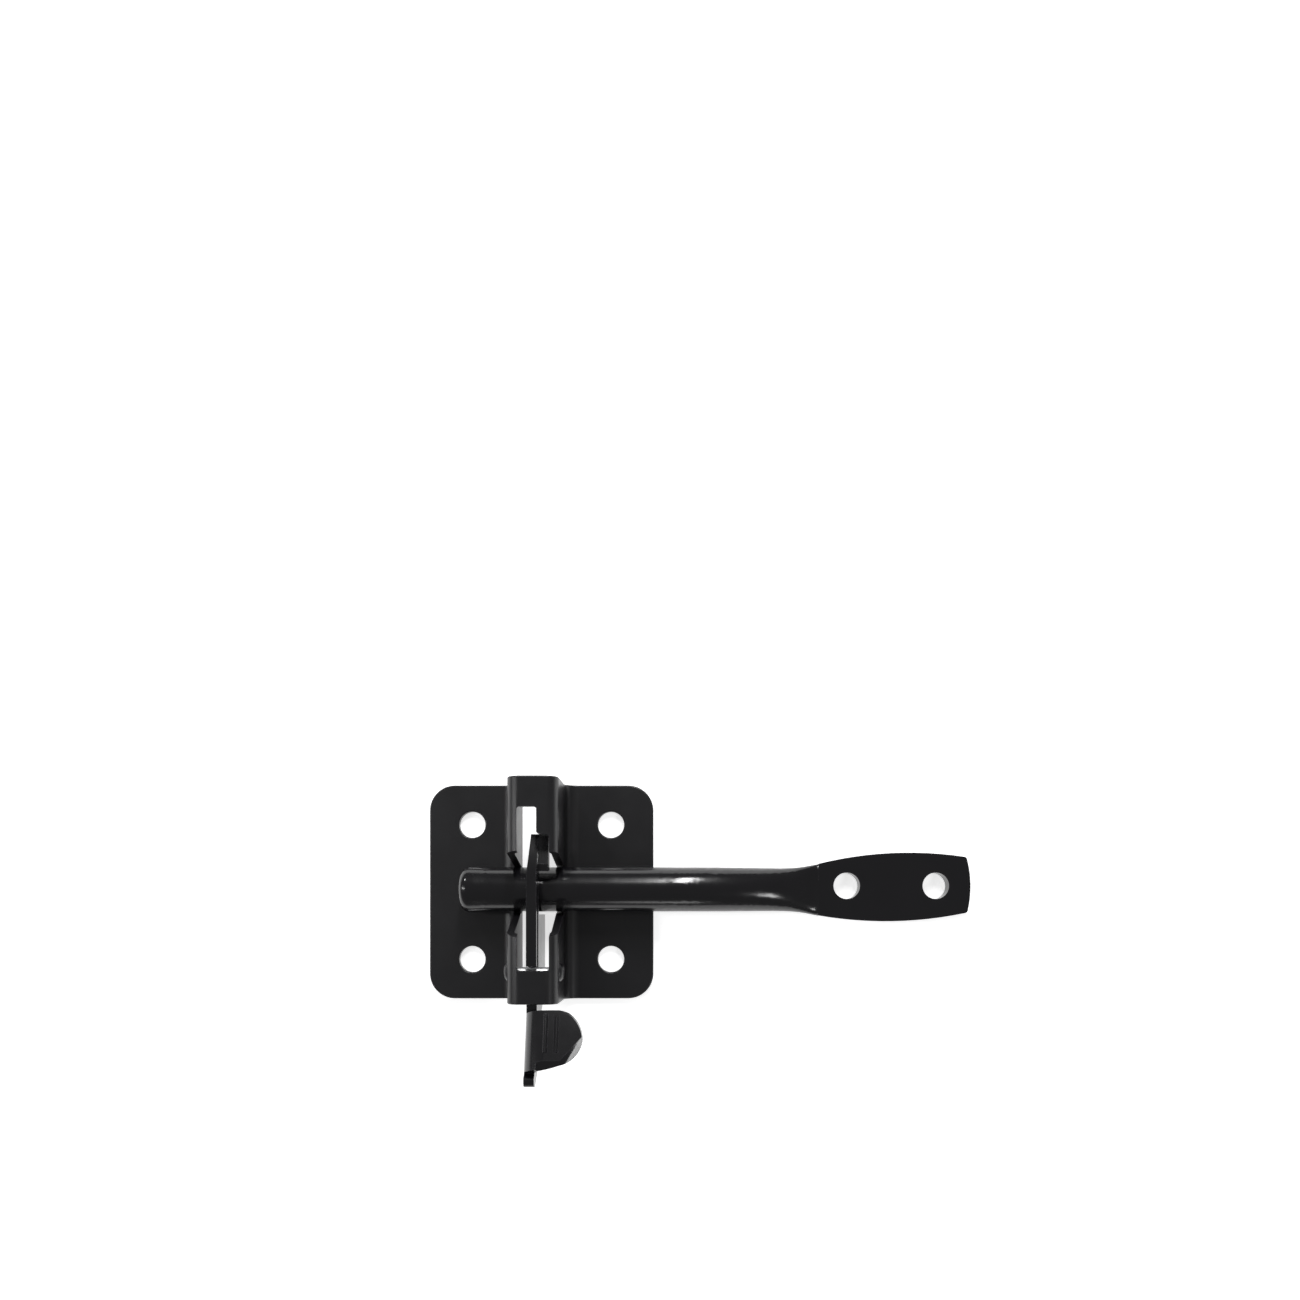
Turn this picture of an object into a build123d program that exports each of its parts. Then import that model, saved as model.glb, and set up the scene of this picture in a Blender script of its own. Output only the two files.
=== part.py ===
from build123d import *
from math import cos, radians, sin, tan
import os

# An automatic gate latch. A pressed steel case is screwed to the post, a sliding pawl
# runs inside its raised channel on one cross rivet, and a striker bar on the gate
# lies in the notches of the channel behind the pawl.
#
# Frame: the case lies on its back. The origin is the centre of the case's back face,
# +Z points out of the case, +X runs along the striker bar towards the gate, and
# -Y is the side where the thumb tab comes out. Millimetres.

os.makedirs("parts", exist_ok=True)

# ---- driving dimensions -------------------------------------------------------------

# Case: one pressed sheet
CASE_SHEET = 1.8
PLATE_WIDTH = 57.2
PLATE_LENGTH = 54.5
PLATE_CORNER = 6.4
POST_HOLE_RADIUS = 3.35
POST_HOLES_X = 35.5
POST_HOLES_Y = 34.4

CHANNEL_WIDTH = 12.4
CHANNEL_HEIGHT = 22.0
CHANNEL_OUTER_BEND = 3.2
CHANNEL_ROOT_BEND = 3.5

CASE_CORNER_BREAK = 0.35

# Window in the front of the channel
WINDOW_LEFT = -3.6
WINDOW_RIGHT = 4.1
WINDOW_TOP = 19.9
WINDOW_BOTTOM = -19.2
WINDOW_STEP_Y = 13.4
WINDOW_STEP_X = 1.1
WINDOW_CORNER = 0.7

# Striker bar: a round bar with a flattened end
BAR_RADIUS = 5.55
BAR_Y = 0.5
BAR_AXIS_HEIGHT = 8.0
BAR_LEFT_END = -19.3
BAR_HEAD_RADIUS = 5.75
BAR_ROUND_TO = 30.0
STRAP_THICKNESS = 4.0
STRAP_START = 70.5
STRAP_START_TOP = (STRAP_START, 7.1)
STRAP_START_BOTTOM = (STRAP_START, -6.0)
STRAP_TOP = (90.0, 9.85)
STRAP_BOTTOM = (87.0, -7.5)
STRAP_END_TOP = (108.1, 8.8)
STRAP_END = (109.1, 1.9)
STRAP_END_BOTTOM = (108.3, -5.3)
STRAP_END_CORNER = 0.8
GATE_HOLE_RADIUS = 3.35
GATE_HOLE_Y = 1.5
GATE_HOLE_FIRST = 77.7
GATE_HOLE_SPACING = 22.6

# Notches that the bar lies in
NOTCH_RADIUS = BAR_RADIUS + 0.4
NOTCH_MOUTH_TOP = 9.6
NOTCH_MOUTH_BOTTOM = -11.6
NOTCH_REACH = 12.0

# Cross rivet
RIVET_RADIUS = 1.2
RIVET_Y = -19.7
RIVET_HEIGHT = 16.65
RIVET_HEAD_RADIUS = 2.3
RIVET_HEAD_HEIGHT = 1.1
RIVET_PLAY = 0.05

# Pawl: one flat stamping on edge in the channel, with a bent thumb tab
PAWL_SHEET = 2.5
PAWL_LEFT = -1.67
PAWL_TRAVEL = 20.3
PAWL_FRONT = 19.4
PAWL_BLADE_BACK = BAR_AXIS_HEIGHT + BAR_RADIUS + 0.5
PAWL_NOSE_Y = 13.8
PAWL_NOSE_FRONT = 15.3
PAWL_RAMP_Y = 4.6
PAWL_THROAT_Y = -5.75
PAWL_BACK = 1.2
GUIDE_HALF_WIDTH = 1.3
GUIDE_MOUTH_Y = -18.3
TAB_SIDE_FRONT = 18.4
NOSE_FLANGE_RIGHT = 3.4
NOSE_TAPER = 0.8
TAB_TILT = 18.0
TAB_TOP_Y = -29.95
TAB_BOTTOM_Y = -43.4
TAB_BEND = 5.0
TAB_RIGHT = 12.6
TAB_RIB_RADIUS = 0.6
TAB_RIBS_X = [3.6, 6.2]
TAB_RIB_START = 0.9
TAB_RIB_LENGTH = 9.2
TAB_LIP_REACH = 12.0
# each lip face: a point on its upper crease, the crease's direction, the face's normal
TAB_LIP_FACES = [
    ((1.6 + TAB_LIP_REACH / 2, -39.9, 26.89), (1, 0, 0), (0, -0.35, 0.94)),
    ((9.54, -37.34, 26.06), (0.68, 0.73, -0.237), (0.475, -0.119, 0.995)),
]

# ---- worked out from the above ------------------------------------------------------

channel_half = CHANNEL_WIDTH / 2
channel_inner_half = channel_half - CASE_SHEET
channel_inner_bend = CHANNEL_OUTER_BEND - CASE_SHEET
channel_back_bend = CHANNEL_ROOT_BEND + CASE_SHEET
guide_top_y = RIVET_Y + PAWL_TRAVEL + 2 * RIVET_PLAY
guide_back = RIVET_HEIGHT - GUIDE_HALF_WIDTH
guide_front = RIVET_HEIGHT + GUIDE_HALF_WIDTH
shelf_y = RIVET_Y - RIVET_RADIUS - RIVET_PLAY
tab_slope = tan(radians(TAB_TILT))
tab_rise = (TAB_TOP_Y - TAB_BOTTOM_Y) * tab_slope
tab_length = (TAB_TOP_Y - TAB_BOTTOM_Y) / cos(radians(TAB_TILT))
gate_hole_second = GATE_HOLE_FIRST + GATE_HOLE_SPACING


def corners_at(corners, reach, height):
    """Corners of the case's section at one height, up to a distance from the middle."""
    return [
        corner for corner in corners if abs(corner.X) < reach and abs(corner.Y - height) < 0.01
    ]


# ---- case: plate and raised channel in one sheet ------------------------------------

with BuildPart() as latch_case:
    with BuildSketch(Plane.XZ) as section:
        with Locations((0, CASE_SHEET / 2)):
            Rectangle(PLATE_WIDTH, CASE_SHEET)
        with Locations((0, CHANNEL_HEIGHT / 2)):
            Rectangle(CHANNEL_WIDTH, CHANNEL_HEIGHT)
        with Locations((0, (CHANNEL_HEIGHT - CASE_SHEET) / 2)):
            Rectangle(2 * channel_inner_half, CHANNEL_HEIGHT - CASE_SHEET, mode=Mode.SUBTRACT)
        fillet(corners_at(section.vertices(), channel_half + 1, CHANNEL_HEIGHT), CHANNEL_OUTER_BEND)
        fillet(
            corners_at(section.vertices(), channel_half - 0.5, CHANNEL_HEIGHT - CASE_SHEET),
            channel_inner_bend,
        )
        fillet(corners_at(section.vertices(), channel_half + 1, CASE_SHEET), CHANNEL_ROOT_BEND)
        fillet(corners_at(section.vertices(), channel_half - 0.5, 0), channel_back_bend)
    extrude(amount=PLATE_LENGTH / 2, both=True)

    # rounded plate corners
    upright_edges = latch_case.edges().filter_by(Axis.Z).group_by(Axis.X)
    fillet(upright_edges[0] + upright_edges[-1], PLATE_CORNER)

    # screw holes
    with Locations((0, 0, CASE_SHEET)):
        with GridLocations(POST_HOLES_X, POST_HOLES_Y, 2, 2):
            Hole(POST_HOLE_RADIUS, depth=2 * CASE_SHEET)

    # the cut edges are softened by the punch and the coating
    face_edges = latch_case.edges().filter_by_position(Axis.Z, CASE_SHEET - 0.01, CASE_SHEET + 0.01)
    fillet(face_edges.filter_by(lambda edge: abs(edge.center().X) > channel_half + 4), CASE_CORNER_BREAK)

    # window over the pawl, narrower at its far end
    with BuildSketch(Plane.XY.offset(CHANNEL_HEIGHT - CHANNEL_OUTER_BEND)) as window:
        with BuildLine():
            Polyline(
                (WINDOW_LEFT, WINDOW_BOTTOM),
                (WINDOW_RIGHT, WINDOW_BOTTOM),
                (WINDOW_RIGHT, WINDOW_STEP_Y),
                (WINDOW_STEP_X, WINDOW_STEP_Y),
                (WINDOW_STEP_X, WINDOW_TOP),
                (WINDOW_LEFT, WINDOW_TOP),
                close=True,
            )
        make_face()
        fillet(window.vertices(), WINDOW_CORNER)
    extrude(amount=2 * CHANNEL_OUTER_BEND, mode=Mode.SUBTRACT)

    # notches through both walls, with a flared mouth
    with BuildSketch(Plane.YZ.offset(-NOTCH_REACH)):
        with BuildLine():
            ThreePointArc(
                (BAR_Y + NOTCH_RADIUS, BAR_AXIS_HEIGHT),
                (BAR_Y, BAR_AXIS_HEIGHT - NOTCH_RADIUS),
                (BAR_Y - NOTCH_RADIUS, BAR_AXIS_HEIGHT),
            )
            Polyline(
                (BAR_Y - NOTCH_RADIUS, BAR_AXIS_HEIGHT),
                (NOTCH_MOUTH_BOTTOM, CHANNEL_HEIGHT + 1),
                (NOTCH_MOUTH_TOP, CHANNEL_HEIGHT + 1),
                (BAR_Y + NOTCH_RADIUS, BAR_AXIS_HEIGHT),
            )
        make_face()
    extrude(amount=2 * NOTCH_REACH, mode=Mode.SUBTRACT)

    # rivet holes
    with BuildSketch(Plane.YZ.offset(-channel_half - 1)):
        with Locations((RIVET_Y, RIVET_HEIGHT)):
            Circle(RIVET_RADIUS)
    extrude(amount=CHANNEL_WIDTH + 2, mode=Mode.SUBTRACT)

latch_case.part.label = "latch_case"


# ---- cross rivet: shank with a domed head on each side ------------------------------

with BuildPart() as pawl_rivet:
    head_face = channel_half + RIVET_HEAD_HEIGHT
    with BuildSketch(Plane.XY):
        with BuildLine():
            Polyline(
                (0, RIVET_RADIUS),
                (channel_half, RIVET_RADIUS),
                (channel_half, RIVET_HEAD_RADIUS),
            )
            ThreePointArc(
                (channel_half, RIVET_HEAD_RADIUS),
                (channel_half + 0.72 * RIVET_HEAD_HEIGHT, 0.72 * RIVET_HEAD_RADIUS),
                (head_face, 0.3 * RIVET_HEAD_RADIUS),
            )
            Polyline((head_face, 0.3 * RIVET_HEAD_RADIUS), (head_face, 0), (0, 0), (0, RIVET_RADIUS))
        make_face()
    revolve(axis=Axis.X)
    mirror(about=Plane.YZ)

pawl_rivet.part.locate(Location((0, RIVET_Y, RIVET_HEIGHT)))
pawl_rivet.part.label = "pawl_rivet"


# ---- pawl: nose, guide slot, throat for the bar, thumb tab and tail -----------------

with BuildPart() as pawl:
    with BuildSketch(Plane.YZ.offset(PAWL_LEFT)) as outline:
        with BuildLine():
            Polyline(
                (PAWL_THROAT_Y, PAWL_BLADE_BACK),
                (PAWL_NOSE_Y, PAWL_BLADE_BACK),
                (PAWL_NOSE_Y, PAWL_NOSE_FRONT),
                (PAWL_RAMP_Y, PAWL_FRONT),
                (GUIDE_MOUTH_Y, PAWL_FRONT),
                (GUIDE_MOUTH_Y, guide_front),
                (guide_top_y, guide_front),
            )
            ThreePointArc(
                (guide_top_y, guide_front),
                (guide_top_y + GUIDE_HALF_WIDTH, RIVET_HEIGHT),
                (guide_top_y, guide_back),
            )
            Polyline(
                (guide_top_y, guide_back),
                (shelf_y, guide_back),
                (shelf_y, TAB_SIDE_FRONT),
                (TAB_TOP_Y, TAB_SIDE_FRONT),
                (TAB_BOTTOM_Y, TAB_SIDE_FRONT + tab_rise),
                (-45.9, 26.3),
                (-46.8, 22.0),
                (-43.5, 16.6),
                (-30.6, 10.4),
                (-25.4, PAWL_BACK),
                (PAWL_THROAT_Y, PAWL_BACK),
                (PAWL_THROAT_Y, PAWL_BLADE_BACK),
            )
        make_face()
        nose = outline.vertices().sort_by(Axis.X)[-2:]
        fillet(nose, 0.5)
        tail_corners = outline.vertices().sort_by(Axis.X)[:2]
        fillet(tail_corners, 1.4)
        outer_corners = [
            corner
            for corner in outline.vertices()
            if corner.Y < TAB_SIDE_FRONT - 2 and corner.X < shelf_y - 1
        ]
        fillet(outer_corners, 1.6)
    extrude(amount=PAWL_SHEET)

    # the nose is folded over to +X, so the bar meets a wider stop
    with BuildSketch(Plane.YZ):
        with BuildLine():
            Polyline(
                (4.8, PAWL_BLADE_BACK),
                (PAWL_NOSE_Y, PAWL_BLADE_BACK),
                (PAWL_NOSE_Y, 14.9),
                (12.9, 15.7),
                (6.4, 17.4),
                (4.8, 16.6),
                (4.8, PAWL_BLADE_BACK),
            )
        make_face()
    extrude(amount=NOSE_FLANGE_RIGHT)

    # the nose narrows on its other side
    with BuildSketch(Plane.XY.offset(PAWL_BLADE_BACK - 1)):
        with BuildLine():
            Polyline(
                (PAWL_LEFT, PAWL_RAMP_Y - 2),
                (PAWL_LEFT + NOSE_TAPER, PAWL_NOSE_Y + 1),
                (PAWL_LEFT - 1, PAWL_NOSE_Y + 1),
                (PAWL_LEFT - 1, PAWL_RAMP_Y - 2),
                (PAWL_LEFT, PAWL_RAMP_Y - 2),
            )
        make_face()
    extrude(amount=PAWL_FRONT - PAWL_BLADE_BACK + 2, mode=Mode.SUBTRACT)

    # thumb tab: the front edge turned through a quarter circle towards +X, leaning outwards
    bend_centre = PAWL_LEFT + TAB_BEND
    bend_inner = TAB_BEND - PAWL_SHEET
    arc_step = 0.5**0.5
    tab_plane = Plane(
        origin=(0, TAB_TOP_Y, TAB_SIDE_FRONT),
        x_dir=(1, 0, 0),
        z_dir=(0, -cos(radians(TAB_TILT)), sin(radians(TAB_TILT))),
    )
    with BuildSketch(tab_plane):
        with BuildLine():
            Line((PAWL_LEFT, -1), (PAWL_LEFT, 0))
            ThreePointArc(
                (PAWL_LEFT, 0),
                (bend_centre - TAB_BEND * arc_step, TAB_BEND * arc_step),
                (bend_centre, TAB_BEND),
            )
            Polyline(
                (bend_centre, TAB_BEND),
                (TAB_RIGHT, TAB_BEND),
                (TAB_RIGHT, bend_inner),
                (bend_centre, bend_inner),
            )
            ThreePointArc(
                (bend_centre, bend_inner),
                (bend_centre - bend_inner * arc_step, bend_inner * arc_step),
                (PAWL_LEFT + PAWL_SHEET, 0),
            )
            Polyline(
                (PAWL_LEFT + PAWL_SHEET, 0),
                (PAWL_LEFT + PAWL_SHEET, -1),
                (PAWL_LEFT, -1),
            )
        make_face()
    extrude(amount=tab_length)

    # the tab's free end is rounded like a D
    with BuildSketch(Plane.XY.offset(TAB_SIDE_FRONT + 0.01)):
        with BuildLine():
            Line((6.3, TAB_TOP_Y + 4), (6.3, -28.3))
            ThreePointArc((6.3, -28.3), (10.75, -31.0), (12.3, -35.4))
            ThreePointArc((12.3, -35.4), (11.0, -38.7), (7.0, -41.1))
            ThreePointArc((7.0, -41.1), (4.3, -41.9), (1.5, -42.5))
            Polyline(
                (1.5, -42.5),
                (1.5, TAB_BOTTOM_Y - 3),
                (TAB_RIGHT + 2, TAB_BOTTOM_Y - 3),
                (TAB_RIGHT + 2, TAB_TOP_Y + 4),
                (6.3, TAB_TOP_Y + 4),
            )
        make_face()
    extrude(amount=3 * TAB_BEND, mode=Mode.SUBTRACT)

    # two ribs for the thumb
    with BuildSketch(tab_plane.offset(TAB_RIB_START)):
        for rib_x in TAB_RIBS_X:
            with Locations((rib_x, TAB_BEND - TAB_RIB_RADIUS / 2)):
                Circle(TAB_RIB_RADIUS)
    extrude(amount=TAB_RIB_LENGTH)

    # lip: the tab's lower edge is pressed down along two slanting faces
    for lip_origin, lip_along, lip_normal in TAB_LIP_FACES:
        lip_plane = Plane(origin=lip_origin, x_dir=lip_along, z_dir=lip_normal)
        with Locations(lip_plane):
            Box(
                TAB_LIP_REACH,
                TAB_LIP_REACH,
                TAB_LIP_REACH / 2,
                align=(Align.CENTER, Align.CENTER, Align.MIN),
                mode=Mode.SUBTRACT,
            )

pawl.part.label = "pawl"


# ---- striker bar: round bar, cranked and forged neck, flattened strap ---------------

# neck sections: distance along the bar, width, height, height of the middle, and how
# square the section is (1 is an ellipse, less is squarer). The neck starts a hair wider
# than the round bar, so their rims never cross.
NECK_SECTIONS = [
    (BAR_ROUND_TO, 11.14, 11.14, BAR_AXIS_HEIGHT, 1.0),
    (33.0, 11.14, 11.14, BAR_AXIS_HEIGHT, 1.0),
    (38.0, 11.1, 11.1, 7.88, 1.0),
    (45.0, 11.1, 11.0, 7.3, 1.0),
    (52.0, 11.0, 10.6, 6.3, 1.0),
    (58.0, 10.9, 9.5, 5.2, 0.95),
    (62.6, 11.0, 7.8, 4.15, 0.85),
    (66.6, 11.7, 5.6, 2.95, 0.65),
    (STRAP_START, 13.1, STRAP_THICKNESS, STRAP_THICKNESS / 2, 0.4),
]
NECK_POINTS = 24


def signed_power(value, power):
    return abs(value) ** power if value > 0 else -(abs(value) ** power)


def neck_points(width, height, middle, squareness):
    """Points round one section of the neck, on a superellipse."""
    turns = [radians(360 * (step + 0.5) / NECK_POINTS) for step in range(NECK_POINTS)]
    return [
        (
            BAR_Y + width / 2 * signed_power(cos(turn), squareness),
            middle + height / 2 * signed_power(sin(turn), squareness),
        )
        for turn in turns
    ]


with BuildPart() as striker_bar:
    # round bar with a slightly upset, domed end
    with BuildSketch(Plane.XZ.offset(-BAR_Y)):
        with BuildLine():
            Line((BAR_LEFT_END, BAR_AXIS_HEIGHT), (BAR_LEFT_END, BAR_AXIS_HEIGHT + 3.6))
            ThreePointArc(
                (BAR_LEFT_END, BAR_AXIS_HEIGHT + 3.6),
                (BAR_LEFT_END + 0.75, BAR_AXIS_HEIGHT + 5.2),
                (BAR_LEFT_END + 2.3, BAR_AXIS_HEIGHT + BAR_HEAD_RADIUS),
            )
            Spline(
                (BAR_LEFT_END + 2.3, BAR_AXIS_HEIGHT + BAR_HEAD_RADIUS),
                (BAR_LEFT_END + 7.5, BAR_AXIS_HEIGHT + BAR_RADIUS),
                tangents=((1, 0), (1, 0)),
            )
            Polyline(
                (BAR_LEFT_END + 7.5, BAR_AXIS_HEIGHT + BAR_RADIUS),
                (BAR_ROUND_TO, BAR_AXIS_HEIGHT + BAR_RADIUS),
                (BAR_ROUND_TO, BAR_AXIS_HEIGHT),
                (BAR_LEFT_END, BAR_AXIS_HEIGHT),
            )
        make_face()
    revolve(axis=Axis((0, BAR_Y, BAR_AXIS_HEIGHT), (1, 0, 0)))

    # neck
    for along, width, height, middle, squareness in NECK_SECTIONS:
        with BuildSketch(Plane.YZ.offset(along)):
            with BuildLine():
                Spline(*neck_points(width, height, middle, squareness), periodic=True)
            make_face()
    loft()

    # strap, leaning a little towards +Y along its length
    with BuildSketch(Plane.XY) as strap:
        with BuildLine():
            ThreePointArc(STRAP_START_TOP, STRAP_TOP, STRAP_END_TOP)
            ThreePointArc(STRAP_END_TOP, STRAP_END, STRAP_END_BOTTOM)
            ThreePointArc(STRAP_END_BOTTOM, STRAP_BOTTOM, STRAP_START_BOTTOM)
            Line(STRAP_START_BOTTOM, STRAP_START_TOP)
        make_face()
        fillet(strap.vertices().sort_by(Axis.X)[-2:], STRAP_END_CORNER)
    extrude(amount=STRAP_THICKNESS)

    with Locations(
        (GATE_HOLE_FIRST, GATE_HOLE_Y, STRAP_THICKNESS),
        (gate_hole_second, GATE_HOLE_Y, STRAP_THICKNESS),
    ):
        Hole(GATE_HOLE_RADIUS, depth=2 * STRAP_THICKNESS)

striker_bar.part.label = "striker_bar"


# ---- write each piece ---------------------------------------------------------------

for piece in (latch_case, pawl_rivet, pawl, striker_bar):
    export_step(piece.part, f"parts/{piece.part.label}.step")
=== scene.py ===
import math

import bmesh
import bpy
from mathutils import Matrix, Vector


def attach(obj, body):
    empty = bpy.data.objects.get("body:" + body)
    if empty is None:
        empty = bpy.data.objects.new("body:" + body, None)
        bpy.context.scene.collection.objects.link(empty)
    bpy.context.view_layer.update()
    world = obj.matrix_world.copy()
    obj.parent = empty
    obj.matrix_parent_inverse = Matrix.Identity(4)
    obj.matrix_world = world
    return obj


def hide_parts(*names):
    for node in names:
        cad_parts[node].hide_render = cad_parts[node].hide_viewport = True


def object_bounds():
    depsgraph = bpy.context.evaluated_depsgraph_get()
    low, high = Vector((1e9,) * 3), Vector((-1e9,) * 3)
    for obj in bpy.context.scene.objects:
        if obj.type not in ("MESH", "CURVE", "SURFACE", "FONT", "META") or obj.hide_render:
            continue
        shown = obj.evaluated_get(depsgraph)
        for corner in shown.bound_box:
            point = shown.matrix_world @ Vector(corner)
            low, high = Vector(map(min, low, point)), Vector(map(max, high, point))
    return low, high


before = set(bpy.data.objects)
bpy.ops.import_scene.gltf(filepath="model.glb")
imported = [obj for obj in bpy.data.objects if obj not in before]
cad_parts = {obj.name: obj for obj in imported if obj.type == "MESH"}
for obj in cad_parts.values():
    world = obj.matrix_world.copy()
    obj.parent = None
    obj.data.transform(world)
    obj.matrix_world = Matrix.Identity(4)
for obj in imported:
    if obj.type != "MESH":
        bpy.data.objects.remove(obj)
cad_box = [list(corner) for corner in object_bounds()]

# Lengths are in metres. The case lies on its back at z = 0, and +x runs along the bar.
MM = 0.001


# ---- materials ---------------------------------------------------------------------------


def node_material(name):
    """A new material with nothing in its node tree but a shader and its output."""
    material = bpy.data.materials.new(name)
    material.use_nodes = True
    tree = material.node_tree
    tree.nodes.clear()
    output = tree.nodes.new("ShaderNodeOutputMaterial")
    shader = tree.nodes.new("ShaderNodeBsdfPrincipled")
    tree.links.new(shader.outputs["BSDF"], output.inputs["Surface"])
    return material, tree, shader


def noise(tree, vector, scale, detail=3.0, roughness=0.5):
    texture = tree.nodes.new("ShaderNodeTexNoise")
    texture.inputs["Scale"].default_value = scale
    texture.inputs["Detail"].default_value = detail
    texture.inputs["Roughness"].default_value = roughness
    tree.links.new(vector, texture.inputs["Vector"])
    return texture.outputs["Fac"]


def remap(tree, source, low, high, to_low, to_high):
    mapper = tree.nodes.new("ShaderNodeMapRange")
    mapper.inputs["From Min"].default_value = low
    mapper.inputs["From Max"].default_value = high
    mapper.inputs["To Min"].default_value = to_low
    mapper.inputs["To Max"].default_value = to_high
    tree.links.new(source, mapper.inputs["Value"])
    return mapper.outputs["Result"]


def maths(tree, operation, first, second):
    node = tree.nodes.new("ShaderNodeMath")
    node.operation = operation
    for socket, value in zip(node.inputs, (first, second)):
        if isinstance(value, (int, float)):
            socket.default_value = value
        else:
            tree.links.new(value, socket)
    return node.outputs["Value"]


def blend(tree, factor, first, second):
    """Mixes two colours, each a socket or an (r, g, b)."""
    mix = tree.nodes.new("ShaderNodeMix")
    mix.data_type = "RGBA"
    tree.links.new(factor, mix.inputs["Factor"])
    for socket, value in ((mix.inputs[6], first), (mix.inputs[7], second)):
        if isinstance(value, tuple):
            socket.default_value = (*value, 1)
        else:
            tree.links.new(value, socket)
    return mix.outputs[2]


COAT_DARK = (0.0045, 0.0043, 0.0053)
COAT_PALE = (0.0060, 0.0057, 0.0070)
# paler colour of the rounded edges: a thinner rubbed coat and a painted edge sheen
COAT_EDGE_WEAR_AND_SHEEN = (0.030, 0.029, 0.034)
COAT_DUST = (0.050, 0.049, 0.052)
COAT_IOR = 1.5

# How fine each pattern in the coat is, in noise cells per metre
CLOUD_SCALE = 90.0
RUB_SCALE = 420.0
SPECK_SCALE = 380.0
SPECK_PATCH_SCALE = 55.0
GLOSS_SCALE = 160.0
PEEL_SCALE = 1100.0
SWELL_SCALE = 170.0

EDGE_WIDTH = 0.5 * MM
ORANGE_PEEL = 0.35
RIVET_ROUGHNESS = 0.3


def coat_nodes(tree, coords, roughness):
    """Satin black powder coat: orange peel, faint dust and paler edges, partly a thinner
    rubbed coat and partly a painted edge sheen.

    Returns its colour, roughness and surface height."""
    colour = blend(tree, noise(tree, coords, CLOUD_SCALE, 4.0), COAT_DARK, COAT_PALE)

    # the rounded edges are painted paler: partly a thinner coat, rubbed unevenly, and partly
    # a painted edge sheen. The mask is where the bevelled normal turns away from the face's
    # own
    geometry = tree.nodes.new("ShaderNodeNewGeometry")
    rounded = tree.nodes.new("ShaderNodeBevel")
    rounded.samples = 4
    rounded.inputs["Radius"].default_value = EDGE_WIDTH
    facing = tree.nodes.new("ShaderNodeVectorMath")
    facing.operation = "DOT_PRODUCT"
    tree.links.new(rounded.outputs["Normal"], facing.inputs[0])
    tree.links.new(geometry.outputs["Normal"], facing.inputs[1])
    edge = remap(tree, facing.outputs["Value"], 0.985, 0.90, 0.0, 0.7)
    rubbed = remap(tree, noise(tree, coords, RUB_SCALE, 3.0), 0.35, 0.65, 0.15, 1.0)
    edge = maths(tree, "MULTIPLY", edge, rubbed)
    # paint the edge sheen and the rubbed thin coat onto the edges
    colour = blend(tree, edge, colour, COAT_EDGE_WEAR_AND_SHEEN)

    # a few pale specks of dust in the coat
    specks = tree.nodes.new("ShaderNodeTexVoronoi")
    specks.inputs["Scale"].default_value = SPECK_SCALE
    tree.links.new(coords, specks.inputs["Vector"])
    speck = remap(tree, specks.outputs["Distance"], 0.04, 0.09, 0.5, 0.0)
    patch = remap(tree, noise(tree, coords, SPECK_PATCH_SCALE, 2.0), 0.60, 0.68, 0.0, 1.0)
    speck = maths(tree, "MULTIPLY", speck, patch)
    colour = blend(tree, speck, colour, COAT_DUST)

    rough = remap(
        tree, noise(tree, coords, GLOSS_SCALE, 3.0),
        0.3, 0.7, roughness - 0.015, roughness + 0.025,
    )
    rough = maths(tree, "ADD", rough, maths(tree, "MULTIPLY", edge, 0.12))

    fine = maths(tree, "MULTIPLY", noise(tree, coords, PEEL_SCALE, 2.0, 0.45), ORANGE_PEEL)
    swell = maths(tree, "MULTIPLY", noise(tree, coords, SWELL_SCALE, 1.0), 0.35)
    height = maths(tree, "ADD", fine, swell)
    height = maths(tree, "ADD", height, maths(tree, "MULTIPLY", speck, 0.6))
    return colour, rough, height


def bump(tree, shader, height, strength, distance):
    node = tree.nodes.new("ShaderNodeBump")
    node.inputs["Strength"].default_value = strength
    node.inputs["Distance"].default_value = distance
    tree.links.new(height, node.inputs["Height"])
    tree.links.new(node.outputs["Normal"], shader.inputs["Normal"])


def black_coat(name, roughness):
    material, tree, shader = node_material(name)
    coords = tree.nodes.new("ShaderNodeTexCoord").outputs["Object"]
    colour, rough, height = coat_nodes(tree, coords, roughness)
    tree.links.new(colour, shader.inputs["Base Color"])
    tree.links.new(rough, shader.inputs["Roughness"])
    shader.inputs["IOR"].default_value = COAT_IOR
    bump(tree, shader, height, 0.16, 0.12 * MM)
    return material


ZINC_DARK = (0.66, 0.67, 0.69)
ZINC_PALE = (0.90, 0.90, 0.89)
ZINC_CLOUD_SCALE = 700.0
DRAWN_LINE_SCALE = 5000.0


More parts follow.
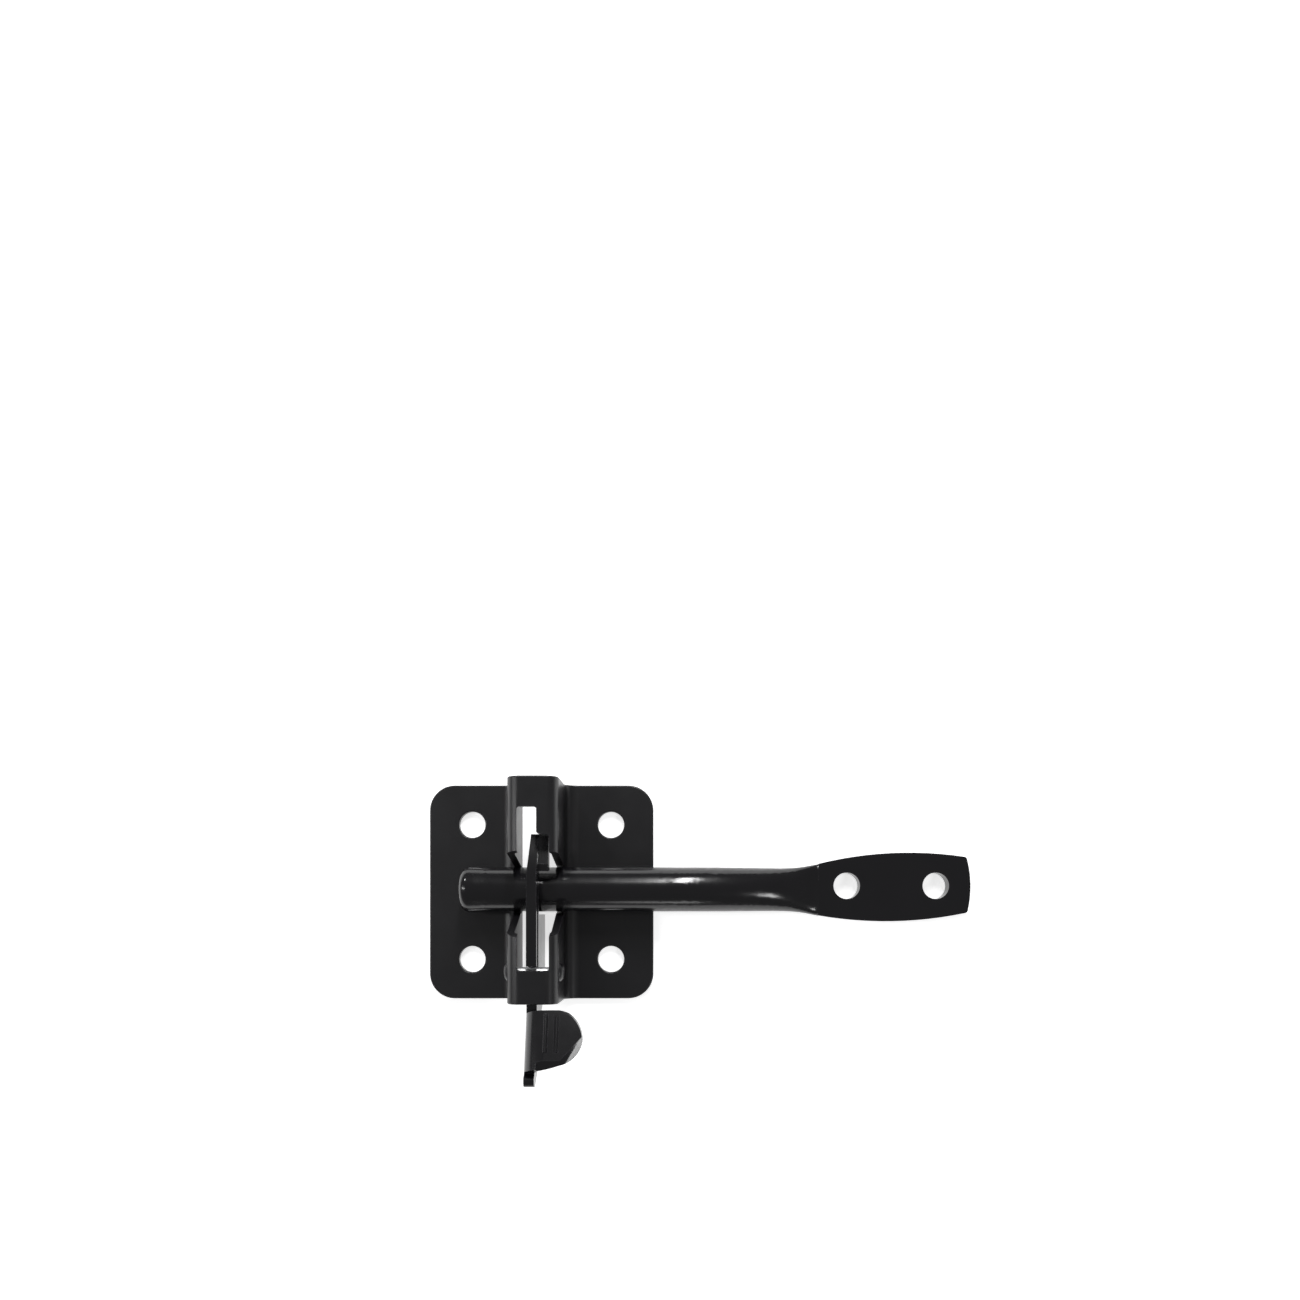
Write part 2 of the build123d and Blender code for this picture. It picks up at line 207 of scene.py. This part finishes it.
def part_coated_zinc(name, bare_half_mm):
    """Zinc-plated rivet, coated black with the case outside the channel's walls."""
    material, tree, shader = node_material(name)
    coords = tree.nodes.new("ShaderNodeTexCoord").outputs["Object"]
    coat, coat_rough, coat_height = coat_nodes(tree, coords, RIVET_ROUGHNESS)

    split = tree.nodes.new("ShaderNodeSeparateXYZ")
    tree.links.new(coords, split.inputs["Vector"])
    from_middle = maths(tree, "ABSOLUTE", split.outputs["X"], 0.0)
    coated = remap(
        tree, from_middle, (bare_half_mm - 0.2) * MM, (bare_half_mm + 0.1) * MM, 0.0, 1.0
    )

    cloud = noise(tree, coords, ZINC_CLOUD_SCALE, 4.0)
    zinc = blend(tree, cloud, ZINC_DARK, ZINC_PALE)
    colour = blend(tree, coated, zinc, coat)
    tree.links.new(colour, shader.inputs["Base Color"])
    tree.links.new(maths(tree, "SUBTRACT", 1.0, coated), shader.inputs["Metallic"])

    zinc_rough = remap(tree, cloud, 0.3, 0.7, 0.34, 0.50)
    rough = tree.nodes.new("ShaderNodeMix")
    tree.links.new(coated, rough.inputs["Factor"])
    tree.links.new(zinc_rough, rough.inputs["A"])
    tree.links.new(coat_rough, rough.inputs["B"])
    tree.links.new(rough.outputs["Result"], shader.inputs["Roughness"])

    # fine drawn lines along the shank
    stretch = tree.nodes.new("ShaderNodeMapping")
    stretch.inputs["Scale"].default_value = (0.08, 1.0, 1.0)
    tree.links.new(coords, stretch.inputs["Vector"])
    lines = noise(tree, stretch.outputs["Vector"], DRAWN_LINE_SCALE, 2.0)
    height = maths(tree, "ADD", coat_height, maths(tree, "MULTIPLY", lines, 0.3))
    bump(tree, shader, height, 0.15, 0.06 * MM)
    return material


# ---- stage, light and camera -------------------------------------------------------------

# The photograph looks straight down on the latch from close by.
CAMERA_DISTANCE = 0.282
LENS_CENTRE = Vector((0.0333, -0.0059))
PICTURE_CENTRE = Vector((0.0277, 0.0623))
PICTURE_SIDE = 0.3346
SENSOR_WIDTH_MM = 36.0

FLOOR_SIDE = 12.0
FLOOR_GAP = 0.4 * MM
FLOOR_GLOW = 0.70
SKY_STRENGTH = 0.22


def light_table():
    """The floor is white acrylic, lit a little from behind like a product table."""
    material, tree, shader = node_material("white_table")
    shader.inputs["Base Color"].default_value = (0.93, 0.93, 0.93, 1)
    shader.inputs["Roughness"].default_value = 0.7
    shader.inputs["Emission Color"].default_value = (1, 1, 1, 1)
    shader.inputs["Emission Strength"].default_value = FLOOR_GLOW
    return material


def make_stage():
    lowest = cad_box[0][2] - FLOOR_GAP
    bpy.ops.mesh.primitive_plane_add(size=FLOOR_SIDE, location=(0, 0, lowest))
    floor = bpy.context.object
    floor.name = "floor"
    floor.data.materials.append(light_table())

    world = bpy.data.worlds.new("studio")
    world.use_nodes = True
    sky = world.node_tree.nodes["Background"]
    sky.inputs["Color"].default_value = (1, 1, 1, 1)
    sky.inputs["Strength"].default_value = SKY_STRENGTH
    bpy.context.scene.world = world


# Each softbox: position, size across, size up, and how bright its face is.
SOFTBOXES = {
    "streak_box": ((0.078, 0.430, 0.420), 0.026, 0.260, 100.0),
    "low_box": ((0.060, -0.760, 0.260), 0.160, 0.160, 3.0),
    "left_box": ((-0.550, 0.050, 0.500), 0.060, 0.500, 12.0),
    "head_box": ((-0.280, 0.420, 0.355), 0.060, 0.060, 60.0),
    "lip_box": ((0.423, -0.226, 0.416), 0.100, 0.100, 16.0),
}


def make_lights():
    aim = Vector((0.020, 0.0, 0.010))
    for name, (position, across, up, brightness) in SOFTBOXES.items():
        data = bpy.data.lights.new(name, "AREA")
        data.shape = "RECTANGLE"
        data.size = across
        data.size_y = up
        data.energy = brightness * math.pi * across * up
        light = bpy.data.objects.new(name, data)
        bpy.context.collection.objects.link(light)
        light.location = position
        light.rotation_euler = (aim - Vector(position)).to_track_quat("-Z", "Y").to_euler()


def make_camera():
    data = bpy.data.cameras.new("camera")
    camera = bpy.data.objects.new("camera", data)
    bpy.context.collection.objects.link(camera)
    camera.location = (LENS_CENTRE.x, LENS_CENTRE.y, CAMERA_DISTANCE)
    camera.rotation_euler = (0, 0, 0)
    data.sensor_width = SENSOR_WIDTH_MM
    data.lens = data.sensor_width * CAMERA_DISTANCE / PICTURE_SIDE
    offset = (PICTURE_CENTRE - LENS_CENTRE) / PICTURE_SIDE
    data.shift_x = offset.x
    data.shift_y = offset.y
    data.clip_start = 0.01
    data.clip_end = 20.0
    data.dof.use_dof = False
    bpy.context.scene.camera = camera


# ---- the object --------------------------------------------------------------------------

SAME_PLACE = 0.001 * MM
FLAT_ANGLE = math.radians(0.4)
SHARP_ANGLE = math.radians(32)

# The CAD's neck starts 0.02 mm proud of the round bar, all round it, at SEAM_X, and is
# back on the bar's own size at SEAM_END_X.
SEAM_X = 30 * MM
SEAM_END_X = 38 * MM
SEAM_STEP = 0.02 * MM
BAR_RADIUS = 5.55 * MM
BAR_AXIS_Y = 0.5 * MM
BAR_AXIS_Z = 8.0 * MM


def on_seam(edge):
    return all(abs(vert.co.x - SEAM_X) < SAME_PLACE for vert in edge.verts)


def close_seam(mesh):
    """Draws the start of the neck in by that step, so that bar and neck shade as one."""
    for vert in mesh.verts:
        if not SEAM_X - SAME_PLACE < vert.co.x < SEAM_END_X:
            continue
        across, up = vert.co.y - BAR_AXIS_Y, vert.co.z - BAR_AXIS_Z
        radius = math.hypot(across, up)
        on_neck = vert.co.x > SEAM_X + SAME_PLACE or radius > BAR_RADIUS + SEAM_STEP / 2
        if on_neck:
            along = (vert.co.x - SEAM_X) / (SEAM_END_X - SEAM_X)
            scale = 1 - SEAM_STEP * (1 - along) / radius
            vert.co.y = BAR_AXIS_Y + across * scale
            vert.co.z = BAR_AXIS_Z + up * scale


def cleaned_copy(node_name):
    """A bmesh of a CAD node with its split vertices joined and its flat faces whole."""
    mesh = bmesh.new()
    mesh.from_mesh(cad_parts[node_name].data)
    bmesh.ops.remove_doubles(mesh, verts=mesh.verts, dist=SAME_PLACE)
    off_seam = [edge for edge in mesh.edges if not on_seam(edge)]
    bmesh.ops.dissolve_limit(mesh, angle_limit=FLAT_ANGLE, verts=mesh.verts, edges=off_seam)
    return mesh


def mark_sharp_edges(mesh):
    """Gives a bevel weight to each real corner. The striker's seam gets none, and each
    side of it is shaded by itself."""
    weights = mesh.edges.layers.float.new("bevel_weight_edge")
    for edge in mesh.edges:
        sharp = len(edge.link_faces) == 2 and edge.calc_face_angle(0.0) > SHARP_ANGLE
        edge[weights] = float(sharp and not on_seam(edge))
        edge.smooth = not on_seam(edge)


def detailed_piece(mesh, name, node_name, body, material, edge_mm):
    """Stands in for a CAD node: rounded edges, smooth curves and a material of its own."""
    mark_sharp_edges(mesh)
    data = bpy.data.meshes.new(name)
    mesh.to_mesh(data)
    mesh.free()
    data.materials.append(material)
    piece = bpy.data.objects.new(name, data)
    bpy.context.collection.objects.link(piece)
    for polygon in data.polygons:
        polygon.use_smooth = True

    bevel = piece.modifiers.new("rounded_edges", "BEVEL")
    bevel.width = edge_mm * MM
    bevel.segments = 3
    bevel.limit_method = "WEIGHT"
    bevel.miter_outer = "MITER_ARC"
    bevel.use_clamp_overlap = True
    normals = piece.modifiers.new("face_normals", "WEIGHTED_NORMAL")
    normals.keep_sharp = True

    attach(piece, body)
    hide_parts(node_name)


make_camera()
make_stage()
make_lights()
bpy.context.scene.view_settings.view_transform = "Standard"

case_mesh = cleaned_copy("latch_case")
detailed_piece(
    case_mesh, "case_shell", "latch_case", "case", black_coat("case_coat", 0.34), 0.3
)

pawl_mesh = cleaned_copy("pawl")
detailed_piece(pawl_mesh, "pawl_plate", "pawl", "pawl", black_coat("pawl_coat", 0.20), 0.35)

striker_mesh = cleaned_copy("striker_bar")
close_seam(striker_mesh)
detailed_piece(
    striker_mesh, "striker_rod", "striker_bar", "striker", black_coat("bar_coat", 0.17), 0.35
)

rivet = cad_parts["pawl_rivet"]
rivet.data.materials.clear()
rivet.data.materials.append(part_coated_zinc("rivet_zinc", 4.4))
